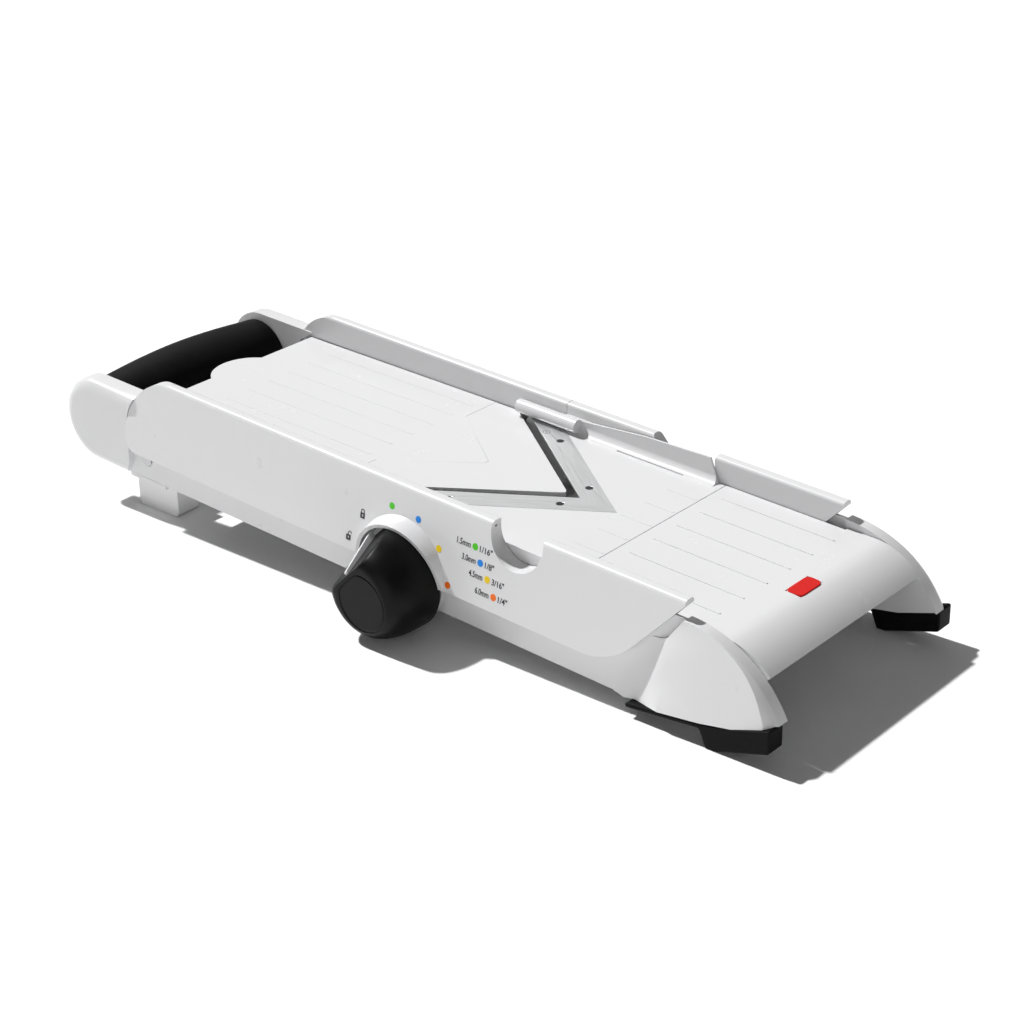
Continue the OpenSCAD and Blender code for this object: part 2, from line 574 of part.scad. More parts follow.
// ---- Runway ----
module tilted() translate([pivot_x, 0, pivot_z]) rotate([0, -rise, 0]) translate([-pivot_x, 0, -pivot_z]) children();
run_top = -runway_low + 0.35;           // top of the level runway before it is tilted about the pivot
function v_x(apex, y) = apex - y / v_slope;
module runway_plan(w) union() {
    polygon([[-runway_back, -w / 2], [v_x(run_tip, w / 2), -w / 2], [run_tip - 2, -1.4], [run_tip - 1, 0],
        [run_tip - 2, 1.4], [v_x(run_tip, w / 2), w / 2], [-runway_back, w / 2]]);
    translate([9.8 - runway_back, 0]) circle(18.6);
}
module insert_plan(gap) intersection() {
    polygon([[insert_rear - gap, -half - 5], [insert_rear - gap, -insert_half - gap],
        [insert_x - 0.6 - gap, -1.3], [insert_x - 0.6 - gap, 1.3], [insert_rear - gap, insert_half + gap],
        [insert_rear - gap, half + 5], [run_tip + 9, half + 5], [run_tip + 9, -half - 5]]);
    runway_plan(runway_w + 2 * gap);
}
ear_y = wall_in - 8;
module ear() difference() {
    across(ear_y, ear_y + 4) {
        polygon([[pivot_x - 6, pivot_z], [pivot_x + 6, pivot_z], [pivot_x + 20, run_top - 2], [pivot_x + 3.5, run_top - 2]]);
        translate([pivot_x, pivot_z]) circle(6);
    }
    bar([pivot_x, pivot_z], pin_r + run_fit, ear_y - 1, ear_y + 5);
}
module runway_plate() color("white") tilted() difference() {
    union() {
        translate([0, 0, run_top - run_t]) linear_extrude(run_t) runway_plan(runway_w);
        both_sides() {
            ear();
            translate([-8, rib_y - 1.5, run_top - run_t - 7]) cube([v_x(run_tip, rib_y + 1.5) + 4, 3, 7 + e]);
            translate([30, cam_y - 1, run_top - run_t - 5]) cube([dial_x - 38, 2, 5 + e]);
            translate([dial_x - 9, cam_y - 3, follower_z()]) cube([18, 6, run_top - run_t - follower_z() + e]);
        }
        for (x = [30:40:run_tip - 70]) translate([x, -rib_y, run_top - run_t - 5]) cube([2, 2 * rib_y, 5 + e]);
    }
    translate([0, 0, run_top - insert_t]) linear_extrude(5) insert_plan(0.12);
    for (p = insert_screw_at) {
        translate([p[0], p[1], run_top - run_t - 1]) cylinder(r = 1.5, h = 4);
        // room for the screw head and the driver through the ribs
        translate([p[0], p[1], run_top - run_t - 8]) cylinder(r = screw_head_r + slack, h = 8);
    }
}
// Underside of the follower pads, above the cams
function follower_z() = dial_z + cam_r + 0.7 - sin(rise) * (dial_x - pivot_x);
module runway_insert() color("white") tilted() difference() {
    translate([0, 0, run_top - insert_t + 0.02]) linear_extrude(insert_t - 0.02) intersection() {
        insert_plan(-0.12);
        runway_plan(runway_w);
    }
    for (p = insert_screw_at) translate([p[0], p[1], run_top - insert_t - 1]) cylinder(r = 1.02, h = 2);
}
screw_head_r = 2.6;
insert_screw_at = [[insert_rear + 12, -36.5 + 8], [insert_rear + 12, 36.5 - 8], [run_tip - 26, 0]];
module insert_screws() color("silver") tilted() for (p = insert_screw_at) translate([p[0], p[1], 0]) {
    translate([0, 0, run_top - run_t - 1.5]) cylinder(r = screw_head_r, h = 1.48);
    translate([0, 0, run_top - run_t - 0.1]) cylinder(r = 1, h = run_t - insert_t + 1);
}

// ---- Blade carrier ----
module blade_plan(gap) polygon([[v_x(cut_apex - gap, arm_y + gap), -arm_y - gap], [cut_apex - gap / v_slope, 0],
    [v_x(cut_apex - gap, arm_y + gap), arm_y + gap], [v_x(blade_tip + gap, arm_y + gap), arm_y + gap],
    [blade_tip + gap / v_slope, 0], [v_x(blade_tip + gap, arm_y + gap), -arm_y - gap]]);
carrier_y = half - 0.5;
module carrier_plan() polygon([[v_x(notch_apex, carrier_y), -carrier_y], [notch_apex, 0],
    [v_x(notch_apex, carrier_y), carrier_y], [seam_x - 0.25, carrier_y], [seam_x - 0.25, -carrier_y]]);
// Far fence of the carrier: it rises towards the landing deck and ends on a slant
fence_x = cut_apex - 67.4;
module fence_side() polygon([[fence_x, -plate_t], [fence_x, 3], [handle_x0, 4.6], [handle_x0 + 45, 9.4],
    [seam_x - 8, rail_h - 0.5], [seam_x - 2.4, -plate_t]]);
module carrier_fence() intersection() {
    across(half - 12, half + 4) fence_side();
    along(handle_x0 - 30, seam_x) polygon(concat([[carrier_y - 5, -plate_t]],
        arc([carrier_y - 5, 4.4], 4.4, -90, -12, 8),
        [[carrier_y - 0.6, 20], [carrier_y + 0.2, 20], [carrier_y + 0.2, -plate_t]]));
}
// Stretch of rail that comes out with the carrier and serves as its grip
module carrier_rail() difference() {
    intersection() {
        along(handle_x0 + 0.3, handle_x1) polygon(cover_outer(-3.7));
        across(half - 1, half + 20) polygon([[handle_x0, -3.7], [handle_x0, 20], [handle_x1 - 11, 20],
            [handle_x1 - 11, rail_h], [handle_x1, -3.7]]);
    }
    along(handle_x0 + cover_t, handle_x1 - 12) polygon([[skin_y(-5) - cover_t, -5], [skin_top_y - cover_t, skin_top_z - 1],
        [half + 2.6, skin_top_z - 1], [half + 2.6, -5]]);
}
module bead(x, length) translate([x, carrier_y - 3, 3.9]) rotate([0, 90, 0]) cylinder(r = 3.2, h = length);
module blade_carrier() color("white") difference() {
    union() {
        translate([0, 0, -plate_t]) linear_extrude(plate_t) carrier_plan();
        carrier_fence();
        carrier_rail();
        // joins the fence to the stretch of rail
        translate([handle_x0 + 0.3, carrier_y - 0.5, -plate_t]) cube([handle_x1 - handle_x0 - 8, 1.6, plate_t + 6]);
        // guard bead over the far end of the blade
        intersection() {
            bead(fence_x - 6, 34);
            translate([handle_x0 - 30, half - 20, -plate_t]) cube([60, 20 - 0.5, 20]);
        }
        translate([fence_x, carrier_y - 3.6, -plate_t]) cube([14, 3.6, plate_t + 3]);
        // rim that rests on the chassis ledges
        translate([notch_apex - 36, -carrier_y, -5.4]) cube([seam_x - 0.25 - notch_apex + 36, 2.2, 5.4]);
        translate([notch_apex - 36, carrier_y - 2.2, -5.4]) cube([seam_x - 0.25 - notch_apex + 36, 2.2, 5.4]);
        translate([seam_x - 3, -carrier_y, -5.4]) cube([2.75, 2 * carrier_y, 5.4]);
    }
    translate([0, 0, -blade_t + 0.2]) linear_extrude(blade_t + 0.4) blade_plan(0.1);
    for (y = rivets) for (s = [-1, 1]) translate([v_x(rivet_mid, y), s * y, -plate_t - 1]) cylinder(r = rivet_r, h = 6);
    translate([seam_x - 55, carrier_y - 4.6, -0.5]) cube([36, 0.8, 1]);
}
module v_blade() color("silver") difference() {
    translate([0, 0, -blade_t + 0.2]) linear_extrude(blade_t) blade_plan(0);
    for (y = rivets) for (s = [-1, 1]) translate([v_x(rivet_mid, y), s * y, -plate_t - 1]) cylinder(r = rivet_r, h = 6);
}
module blade_rivets() color("dimgray") for (y = rivets) for (s = [-1, 1]) translate([v_x(rivet_mid, y), s * y, 0]) {
    translate([0, 0, -plate_t - 0.8]) cylinder(r = rivet_r + 1, h = 0.78);
    translate([0, 0, -plate_t - 0.4]) cylinder(r = rivet_r - 0.01, h = plate_t + 0.5);
}

place() near_frame();
place() far_frame();
place() dial_side_cover();
place() far_side_cover();
place() landing_deck();
place() front_crossbar();
place() rear_crossbar();
place() handle_core();
place() handle_grip();
place() near_foot_pad();
place() far_foot_pad();
place() near_rear_rest();
place() far_rear_rest();
place() dial_bezel();
place() near_shaft_bush();
place() far_shaft_bush();
place() far_hub_cap();
place() detent_spring();
place() detent_screws();
place() pivot_pins();
place() cover_screws();
place() deck_screws();
place() deck_badge();
place() dial_body();
place() dial_face();
place() dial_pointer();
place() dial_screw();
place() cam_shaft();
place() near_cam();
place() far_cam();
place() detent_wheel();
place() shaft_clip();
place() runway_plate();
place() runway_insert();
place() insert_screws();
place() blade_carrier();
place() v_blade();
place() blade_rivets();
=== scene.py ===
import json
import math
import bpy
import bmesh
from mathutils import Matrix, Vector
from mathutils.bvhtree import BVHTree


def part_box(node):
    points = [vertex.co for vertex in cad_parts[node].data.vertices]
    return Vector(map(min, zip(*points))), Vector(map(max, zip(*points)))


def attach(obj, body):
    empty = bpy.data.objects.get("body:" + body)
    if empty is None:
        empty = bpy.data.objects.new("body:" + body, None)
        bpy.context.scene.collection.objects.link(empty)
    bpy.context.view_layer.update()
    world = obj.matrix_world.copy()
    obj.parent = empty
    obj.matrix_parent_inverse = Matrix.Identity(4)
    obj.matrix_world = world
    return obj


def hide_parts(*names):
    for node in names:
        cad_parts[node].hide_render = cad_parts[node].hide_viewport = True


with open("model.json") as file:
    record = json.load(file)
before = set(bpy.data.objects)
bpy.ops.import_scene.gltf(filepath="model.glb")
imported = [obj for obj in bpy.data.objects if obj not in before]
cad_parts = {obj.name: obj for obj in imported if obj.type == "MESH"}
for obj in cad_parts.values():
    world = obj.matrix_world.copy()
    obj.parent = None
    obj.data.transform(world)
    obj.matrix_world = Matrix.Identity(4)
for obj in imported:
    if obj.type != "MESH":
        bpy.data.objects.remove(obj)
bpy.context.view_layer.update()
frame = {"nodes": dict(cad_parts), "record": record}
print("frame loaded")

# Sizes below are in millimetres on the cutting deck: x runs from the rail ends towards the feet,
# y = 0 is the centre line with the dial on the -y side, and z = 0 is the deck.
deckSizes = {
    "dialX": 146.3, "dialZ": -28.0, "skirtTopY": 55.0, "skirtTopZ": 9.0, "skirtLean": 0.182,
}
dialPoint = (deckSizes["dialX"], deckSizes["dialZ"])
joints = {joint["name"]: joint for joint in frame["record"]["behaviour"]["joints"]}
liftAxis = Vector(joints["carrier_lift"]["axis"])
dialPos = Vector(joints["dial_turn"]["pos_m"])
deckTilt = math.atan2(liftAxis.x, liftAxis.z)
deckTurn = Matrix.Rotation(deckTilt, 4, "Y")
deckMatrix = (Matrix.Translation(dialPos) @ deckTurn @ Matrix.Scale(0.001, 4)
              @ Matrix.Translation((-dialPoint[0], 0, -dialPoint[1])))


def skirtY(z):
    # distance of the skirt's outer face from the centre line
    return deckSizes["skirtTopY"] + deckSizes["skirtLean"] * (deckSizes["skirtTopZ"] - z)


# finishes; reliefs are bump heights in metres
reliefs = {"wave": 0.0004, "grain": 0.00004, "pebble": 0.00012, "skin": 0.00006, "scratch": 0.00003}


def nodeLink(tree, source, output, target, socket):
    tree.links.new(source.outputs[output], target.inputs[socket])


def newFinish(name):
    material = bpy.data.materials.new(name)
    material.use_nodes = True
    tree = material.node_tree
    shader = tree.nodes["Principled BSDF"]
    coords = tree.nodes.new("ShaderNodeTexCoord")
    return material, tree, shader, coords


def noiseNode(tree, vectorFrom, vectorOutput, scale, detail, roughness=0.55):
    noise = tree.nodes.new("ShaderNodeTexNoise")
    noise.inputs["Scale"].default_value = scale
    noise.inputs["Detail"].default_value = detail
    noise.inputs["Roughness"].default_value = roughness
    nodeLink(tree, vectorFrom, vectorOutput, noise, "Vector")
    return noise


def rampNode(tree, source, output, low, high, lowAt=0.3, highAt=0.7):
    ramp = tree.nodes.new("ShaderNodeValToRGB")
    ramp.color_ramp.elements[0].position = lowAt
    ramp.color_ramp.elements[1].position = highAt
    ramp.color_ramp.elements[0].color = (*low, 1)
    ramp.color_ramp.elements[1].color = (*high, 1)
    nodeLink(tree, source, output, ramp, "Fac")
    return ramp


def rangeNode(tree, source, output, low, high):
    spread = tree.nodes.new("ShaderNodeMapRange")
    spread.inputs["From Min"].default_value = 0.3
    spread.inputs["From Max"].default_value = 0.7
    spread.inputs["To Min"].default_value = low
    spread.inputs["To Max"].default_value = high
    nodeLink(tree, source, output, spread, "Value")
    return spread


def bumpNode(tree, source, output, strength, distance, after=None):
    bump = tree.nodes.new("ShaderNodeBump")
    bump.inputs["Strength"].default_value = strength
    bump.inputs["Distance"].default_value = distance
    nodeLink(tree, source, output, bump, "Height")
    if after:
        nodeLink(tree, after, "Normal", bump, "Normal")
    return bump


def mouldedPlastic(name, look):
    # gloss or satin moulded plastic: cloudy tone, fine grain and faint rub marks
    material, tree, shader, coords = newFinish(name)
    clouds = noiseNode(tree, coords, "Object", look["cloudScale"], 3)
    tone = rampNode(tree, clouds, "Fac", look["dark"], look["light"])
    nodeLink(tree, tone, "Color", shader, "Base Color")
    rubs = noiseNode(tree, coords, "Object", look["rubScale"], 6, 0.65)
    gloss = rangeNode(tree, rubs, "Fac", look["rough"][0], look["rough"][1])
    nodeLink(tree, gloss, "Result", shader, "Roughness")
    wave = noiseNode(tree, coords, "Object", look["waveScale"], 2)
    slow = bumpNode(tree, wave, "Fac", look["waveStrength"], reliefs["wave"])
    grain = noiseNode(tree, coords, "Object", look["grainScale"], 4)
    fine = bumpNode(tree, grain, "Fac", look["grainStrength"], reliefs["grain"], slow)
    nodeLink(tree, fine, "Normal", shader, "Normal")
    shader.inputs["Specular IOR Level"].default_value = look["specular"]
    shader.inputs["Coat Weight"].default_value = look["coat"]
    shader.inputs["Coat Roughness"].default_value = 0.12
    return material


def softRubber(name, look):
    # matte rubber with a pebbled skin
    material, tree, shader, coords = newFinish(name)
    clouds = noiseNode(tree, coords, "Object", look["cloudScale"], 5)
    tone = rampNode(tree, clouds, "Fac", look["dark"], look["light"])
    nodeLink(tree, tone, "Color", shader, "Base Color")
    gloss = rangeNode(tree, clouds, "Fac", look["rough"][0], look["rough"][1])
    nodeLink(tree, gloss, "Result", shader, "Roughness")
    pebbles = tree.nodes.new("ShaderNodeTexVoronoi")
    pebbles.inputs["Scale"].default_value = look["pebbleScale"]
    nodeLink(tree, coords, "Object", pebbles, "Vector")
    coarse = bumpNode(tree, pebbles, "Distance", look["pebbleStrength"], reliefs["pebble"])
    grain = noiseNode(tree, coords, "Object", look["pebbleScale"] * 2.3, 4)
    fine = bumpNode(tree, grain, "Fac", look["pebbleStrength"] * 0.7, reliefs["skin"], coarse)
    nodeLink(tree, fine, "Normal", shader, "Normal")
    shader.inputs["Specular IOR Level"].default_value = look["specular"]
    shader.inputs["Sheen Weight"].default_value = look["sheen"]
    shader.inputs["Sheen Roughness"].default_value = 0.5
    return material


def groundSteel(name, look):
    # steel with grinding lines along one direction, mirrored about the centre line
    material, tree, shader, coords = newFinish(name)
    split = tree.nodes.new("ShaderNodeSeparateXYZ")
    nodeLink(tree, coords, "Object", split, "Vector")
    fromCentre = tree.nodes.new("ShaderNodeMath")
    fromCentre.operation = "SUBTRACT"
    fromCentre.inputs[1].default_value = dialPos.y
    nodeLink(tree, split, "Y", fromCentre, 0)
    side = tree.nodes.new("ShaderNodeMath")
    side.operation = "ABSOLUTE"
    nodeLink(tree, fromCentre, "Value", side, 0)
    joined = tree.nodes.new("ShaderNodeCombineXYZ")
    nodeLink(tree, split, "X", joined, "X")
    nodeLink(tree, side, "Value", joined, "Y")
    nodeLink(tree, split, "Z", joined, "Z")
    turned = tree.nodes.new("ShaderNodeMapping")
    turned.inputs["Rotation"].default_value = (0, 0, look["lineTurn"])
    nodeLink(tree, joined, "Vector", turned, "Vector")
    drawn = tree.nodes.new("ShaderNodeMapping")
    drawn.inputs["Scale"].default_value = look["lineStretch"]
    nodeLink(tree, turned, "Vector", drawn, "Vector")
    lines = noiseNode(tree, drawn, "Vector", 1.0, 5, 0.7)
    tone = rampNode(tree, lines, "Fac", look["dark"], look["light"])
    nodeLink(tree, tone, "Color", shader, "Base Color")
    gloss = rangeNode(tree, lines, "Fac", look["rough"][0], look["rough"][1])
    nodeLink(tree, gloss, "Result", shader, "Roughness")
    scratch = bumpNode(tree, lines, "Fac", look["lineStrength"], reliefs["scratch"])
    nodeLink(tree, scratch, "Normal", shader, "Normal")
    shader.inputs["Metallic"].default_value = look["metal"]
    return material


inkLook = {"spotScale": 2600, "shade": 0.86, "rough": (0.35, 0.5)}


def inkFinish(name, colour):
    # printed ink: a little uneven, slightly glossier than the plastic under it
    material, tree, shader, coords = newFinish(name)
    spots = noiseNode(tree, coords, "Object", inkLook["spotScale"], 3)
    dark = [channel * inkLook["shade"] for channel in colour]
    tone = rampNode(tree, spots, "Fac", dark, colour)
    nodeLink(tree, tone, "Color", shader, "Base Color")
    gloss = rangeNode(tree, spots, "Fac", inkLook["rough"][0], inkLook["rough"][1])
    nodeLink(tree, gloss, "Result", shader, "Roughness")
    return material


whiteLook = {
    "dark": (0.722, 0.722, 0.729), "light": (0.731, 0.731, 0.738), "cloudScale": 9, "rubScale": 40,
    "rough": (0.27, 0.31), "waveScale": 18, "waveStrength": 0.008, "grainScale": 3200,
    "grainStrength": 0.015, "specular": 0.45, "coat": 0.05,
}
deckLook = dict(whiteLook, rough=(0.24, 0.28), waveStrength=0.010, waveScale=14)
naturalLook = dict(whiteLook, dark=(0.70, 0.69, 0.65), light=(0.76, 0.75, 0.71),
                   rough=(0.4, 0.5), coat=0.0)
darkLook = dict(whiteLook, dark=(0.018, 0.018, 0.019), light=(0.028, 0.028, 0.03),
                rough=(0.38, 0.5), coat=0.0)
badgeLook = dict(whiteLook, dark=(0.60, 0.006, 0.004), light=(0.66, 0.009, 0.006),
                 rough=(0.38, 0.46), coat=0.0, specular=0.2)
gripLook = {
    "dark": (0.0035, 0.0035, 0.0036), "light": (0.006, 0.006, 0.0062), "cloudScale": 90,
    "rough": (0.50, 0.62), "pebbleScale": 1500, "pebbleStrength": 0.35, "specular": 0.08, "sheen": 0.0,
}
padLook = dict(gripLook, rough=(0.46, 0.58), pebbleStrength=0.15)
dialLook = dict(gripLook, dark=(0.003, 0.003, 0.0031), light=(0.005, 0.005, 0.0052),
                rough=(0.36, 0.44), pebbleStrength=0.18, pebbleScale=2200, specular=0.14)
bladeLook = {
    "dark": (0.76, 0.765, 0.77), "light": (0.90, 0.905, 0.91), "rough": (0.34, 0.46),
    "lineTurn": math.radians(34.7), "lineStretch": (60, 3600, 400), "lineStrength": 0.25, "metal": 1.0,
}
steelLook = dict(bladeLook, lineTurn=0.0, dark=(0.42, 0.42, 0.43), light=(0.58, 0.58, 0.60),
                 rough=(0.25, 0.38))
rivetLook = dict(bladeLook, lineTurn=0.0, dark=(0.02, 0.02, 0.022), light=(0.05, 0.05, 0.055),
                 rough=(0.35, 0.5), metal=0.6)

finishes = {
    "white_plastic": mouldedPlastic("whiteShell", whiteLook),
    "deck_plastic": mouldedPlastic("whiteDeck", deckLook),
    "pointer_plastic": mouldedPlastic("whitePointer", whiteLook),
    "natural_plastic": mouldedPlastic("naturalNylon", naturalLook),
    "dark_plastic": mouldedPlastic("darkCore", darkLook),
    "badge_red": mouldedPlastic("redBadge", badgeLook),
    "grip_rubber": softRubber("gripRubber", gripLook),
    "pad_rubber": softRubber("padRubber", padLook),
    "dial_plastic": softRubber("dialRubber", dialLook),
    "steel": groundSteel("plainSteel", steelLook),
    "blade_steel": groundSteel("bladeSteel", bladeLook),
    "rivet_steel": groundSteel("rivetSteel", rivetLook),
}
inks = {
    "ink": inkFinish("darkInk", (0.03, 0.03, 0.035)),
    "green": inkFinish("greenInk", (0.08, 0.62, 0.01)),
    "blue": inkFinish("blueInk", (0.0, 0.25, 0.82)),
    "yellow": inkFinish("yellowInk", (0.95, 0.66, 0.0)),
    "orange": inkFinish("orangeInk", (0.95, 0.17, 0.0)),
    "etch": inkFinish("etchedGrey", (0.32, 0.32, 0.33)),
}

# frame pieces: finish, and the width of each softened edge in millimetres
edgeSoftening = {
    "near_frame": 0.8, "far_frame": 0.8, "dial_side_cover": 0.55, "far_side_cover": 0.55,
    "landing_deck": 0.35, "handle_grip": 0.8, "near_foot_pad": 0.9, "far_foot_pad": 0.9,
    "near_rear_rest": 1.2, "far_rear_rest": 1.2, "dial_bezel": 0.7, "dial_pointer": 0.5,
    "runway_plate": 0.3, "runway_insert": 0.22, "blade_carrier": 0.3, "v_blade": 0.12, "blade_rivets": 0.15,
}
edgeRule = {"weld": 0.000004, "segments": 3, "sharpFrom": math.radians(32)}
materialOf = {part["node"]: part["material_slot"] for part in frame["record"]["subparts"]}
for node, obj in frame["nodes"].items():
    finish = finishes[materialOf[node]]
    if not obj.material_slots:
        obj.data.materials.append(finish)
    for slotEntry in obj.material_slots:
        slotEntry.material = finish
    if node in edgeSoftening:
        weld = obj.modifiers.new("joinCorners", "WELD")
        weld.merge_threshold = edgeRule["weld"]
        bevel = obj.modifiers.new("softEdges", "BEVEL")
        bevel.width = edgeSoftening[node] * 0.001
        bevel.segments = edgeRule["segments"]
        bevel.limit_method = "ANGLE"
        bevel.angle_limit = edgeRule["sharpFrom"]
        bevel.harden_normals = False
        bevel.miter_outer = "MITER_ARC"
    smooth = obj.modifiers.new("evenShading", "WEIGHTED_NORMAL")
    smooth.keep_sharp = False
    obj.data.polygons.foreach_set("use_smooth", [True] * len(obj.data.polygons))
print("frame pieces finished")


# added pieces
def placePiece(mesh, name, material, body, matrix=deckMatrix):
    # moves a mesh made in deck millimetres to its place and lets it ride on a body
    mesh.transform(matrix)
    mesh.materials.clear()
    mesh.materials.append(material)
    obj = bpy.data.objects.new(name, mesh)
    bpy.context.scene.collection.objects.link(obj)
    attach(obj, body)
    return obj


def bridgeRings(bm, rings):
    # joins each closed ring of points to the next one
    for low, high in zip(rings, rings[1:]):
        for i in range(len(low)):
            j = (i + 1) % len(low)
            bm.faces.new((low[i], low[j], high[j], high[i]))


def thicken(bm, height):
    # turns flat faces into a solid of that height
    made = bmesh.ops.extrude_face_region(bm, geom=bm.faces[:])
    raised = [item for item in made["geom"] if isinstance(item, bmesh.types.BMVert)]
    bmesh.ops.translate(bm, verts=raised, vec=(0, 0, height))


def finishMesh(bm, mesh, smooth=False):
    bmesh.ops.recalc_face_normals(bm, faces=bm.faces[:])
    if smooth:
        for polygon in bm.faces:
            polygon.smooth = True
    bm.to_mesh(mesh)
    bm.free()
    return mesh


def skirtMatrix(x, z, lift=0.0):
    # a flat print's place on the dial-side skirt: local x runs along the slicer and local y up the skirt
    lean = math.atan(deckSizes["skirtLean"])
    up = Vector((0, math.sin(lean), math.cos(lean)))
    out = Vector((0, -math.cos(lean), math.sin(lean)))
    place = Matrix(((1, up.x, out.x, x), (0, up.y, out.y, -skirtY(z)), (0, up.z, out.z, z), (0, 0, 0, 1)))
    return place @ Matrix.Translation((0, 0, lift))


def discMesh(name, radius, height, sides=40):
    bm = bmesh.new()
    bmesh.ops.create_cone(bm, cap_ends=True, segments=sides, radius1=radius, radius2=radius, depth=height)
    mesh = bpy.data.meshes.new(name)
    bm.to_mesh(mesh)
    bm.free()
    return mesh


# prints on the dial-side skirt; angles are in degrees round the dial
printMarks = {
    "dotRadius": 1.5, "thickness": 0.12, "ringRadius": 29.5, "ringX": 144.2, "ringZ": -28.5,
    "ringAngles": {"green": 100.7, "blue": 71.1, "yellow": 41.5, "orange": 11.9},
    "legend": {"green": (185.2, -1.8), "blue": (188.7, -7.6),
               "yellow": (193.2, -13.1), "orange": (197.4, -19.2)},
    "metric": {"green": "1.5mm", "blue": "3.0mm", "yellow": "4.5mm", "orange": "6.0mm"},
    "inch": {"green": "1/16\"", "blue": "1/8\"", "yellow": "3/16\"", "orange": "1/4\""},
    "textHeight": 2.7, "metricWidth": 7.3,
    "inchWidth": {"green": 6.6, "blue": 4.8, "yellow": 6.4, "orange": 4.8},
    "textGap": 2.5, "textSink": -0.05, "lockAngle": 136.2, "unlockAngle": 162.8, "bowSwing": 0.7,
}


def ringSpot(angle):
    # a place on the ring of marks round the dial
    turn = math.radians(angle)
    return (printMarks["ringX"] + printMarks["ringRadius"] * math.cos(turn),
            printMarks["ringZ"] + printMarks["ringRadius"] * math.sin(turn))


def addDots():
    for colour, angle in printMarks["ringAngles"].items():
        spots = (("ring", ringSpot(angle)), ("legend", printMarks["legend"][colour]))
        for label, (x, z) in spots:
            mesh = discMesh("dot", printMarks["dotRadius"], printMarks["thickness"])
            placePiece(mesh, f"dot_{label}_{colour}", inks[colour], "frame",
                       deckMatrix @ skirtMatrix(x, z))


def evaluatedMesh(holder):
    # the finished mesh of an unlinked object, which is then removed
    bpy.context.scene.collection.objects.link(holder)
    bpy.context.view_layer.update()
    mesh = bpy.data.meshes.new_from_object(holder.evaluated_get(bpy.context.evaluated_depsgraph_get()))
    bpy.data.objects.remove(holder)
    return mesh


def flatText(words, height, width):
    # solid lettering mesh of that height and width, its lower left corner at the origin
    curve = bpy.data.curves.new("lettering", "FONT")
    curve.body = words
    curve.size = 10
    curve.resolution_u = 3
    curve.offset = 0.12
    mesh = evaluatedMesh(bpy.data.objects.new("lettering", curve))
    xs = [v.co.x for v in mesh.vertices]
    ys = [v.co.y for v in mesh.vertices]
    shift = Matrix.Translation((-min(xs), -min(ys), 0))
    fit = Matrix.Diagonal((width / (max(xs) - min(xs)), height / (max(ys) - min(ys)), 1, 1))
    mesh.transform(fit @ shift)
    bm = bmesh.new()
    bm.from_mesh(mesh)
    bmesh.ops.remove_doubles(bm, verts=bm.verts, dist=0.001)
    thicken(bm, printMarks["thickness"])
    return finishMesh(bm, mesh)


def addLegend():
    for colour, (x, z) in printMarks["legend"].items():
        height = printMarks["textHeight"]
        metric = flatText(printMarks["metric"][colour], height, printMarks["metricWidth"])
        left = x - printMarks["textGap"] - printMarks["metricWidth"]
        placePiece(metric, f"legend_mm_{colour}", inks["ink"], "frame",
                   deckMatrix @ skirtMatrix(left, z - height / 2, printMarks["textSink"]))
        inch = flatText(printMarks["inch"][colour], height, printMarks["inchWidth"][colour])
        placePiece(inch, f"legend_inch_{colour}", inks["ink"], "frame",
                   deckMatrix @ skirtMatrix(x + printMarks["textGap"], z - height / 2, printMarks["textSink"]))


padlockShape = {
    "halfWidth": 1.3, "bottom": -2.0, "top": 0.5, "keyHalf": 0.3, "keyLow": -1.2, "keyHigh": -0.2,
    "bowOuter": 1.05, "bowInner": 0.62, "bowRise": 1.2, "bowSteps": 12,
}


def rectangle(bm, left, right, low, high):
    return [bm.verts.new((x, y, 0)) for x, y in ((left, low), (right, low), (right, high), (left, high))]


def padlockMesh(name, swing):
    # small padlock: body with a keyhole and a bow that stands closed or to one side
    lock = padlockShape
    bm = bmesh.new()
    outer = rectangle(bm, -lock["halfWidth"], lock["halfWidth"], lock["bottom"], lock["top"])
    inner = rectangle(bm, -lock["keyHalf"], lock["keyHalf"], lock["keyLow"], lock["keyHigh"])
    bridgeRings(bm, (outer, inner))
    bow = []
    for i in range(lock["bowSteps"] + 1):
        turn = math.pi * i / lock["bowSteps"]
        for radius in (lock["bowOuter"], lock["bowInner"]):
            x, y = radius * math.cos(turn) + swing, radius * math.sin(turn) + lock["bowRise"]
            bow.append(bm.verts.new((x, y, 0)))
    for i in range(lock["bowSteps"]):
        bm.faces.new((bow[2 * i], bow[2 * i + 2], bow[2 * i + 3], bow[2 * i + 1]))
    # an open bow stands on one leg only
    legs = [] if swing else [(lock["bowInner"], lock["bowOuter"])]
    for left, right in legs + [(-lock["bowOuter"], -lock["bowInner"])]:
        bm.faces.new(rectangle(bm, left + swing, right + swing, lock["top"], lock["bowRise"]))
    thicken(bm, printMarks["thickness"])
    return finishMesh(bm, bpy.data.meshes.new(name))


def addPadlocks():
    signs = (("lock", printMarks["lockAngle"], 0.0), ("unlock", printMarks["unlockAngle"], printMarks["bowSwing"]))
    for label, angle, swing in signs:
        x, z = ringSpot(angle)
        placePiece(padlockMesh(label, swing), f"mark_{label}", inks["ink"], "frame",
                   deckMatrix @ skirtMatrix(x, z, printMarks["textSink"]))


